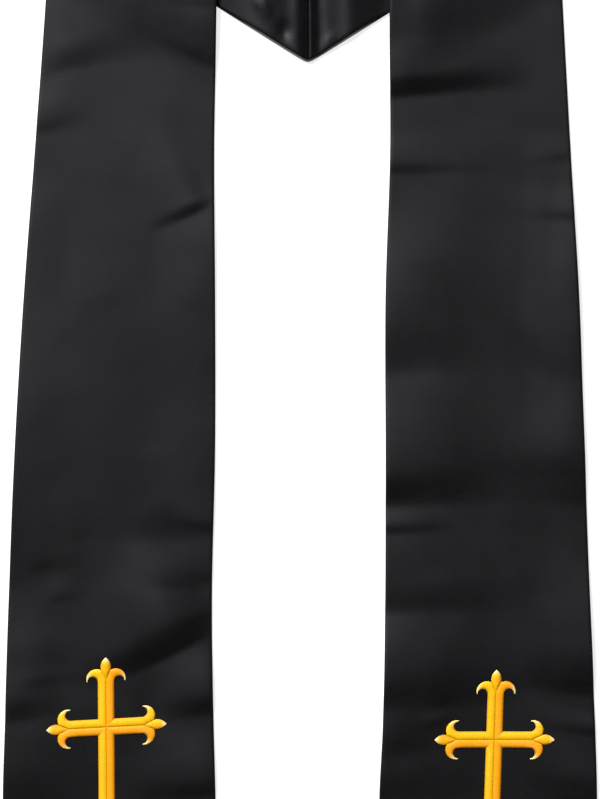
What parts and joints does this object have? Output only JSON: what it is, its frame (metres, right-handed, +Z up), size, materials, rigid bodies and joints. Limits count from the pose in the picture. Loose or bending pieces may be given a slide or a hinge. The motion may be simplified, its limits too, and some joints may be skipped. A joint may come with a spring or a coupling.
{
  "type": "clerical stole",
  "caption": "Black satin clerical stole laid flat, its widening bands folded at the shoulders, with a gold embroidered cross on each band.",
  "frame": {"origin": "middle of the stole's outline, on the surface it lies on", "axes": "+X to the right as it is looked at from above, +Y towards the shoulders, +Z up off the surface"},
  "size_m": [0.4202, 0.8054, 0.0094],
  "materials": {
    "satin": "matte black satin weave",
    "lining": "glossier black satin lining",
    "gold_thread": "satin-stitched gold thread with a silky sheen"
  },
  "bodies": {
    "root": {"outer_left": "satin", "outer_right": "satin", "lining_left": "lining", "lining_right": "lining", "cross_left": "gold_thread", "cross_right": "gold_thread"}
  },
  "joints": []
}
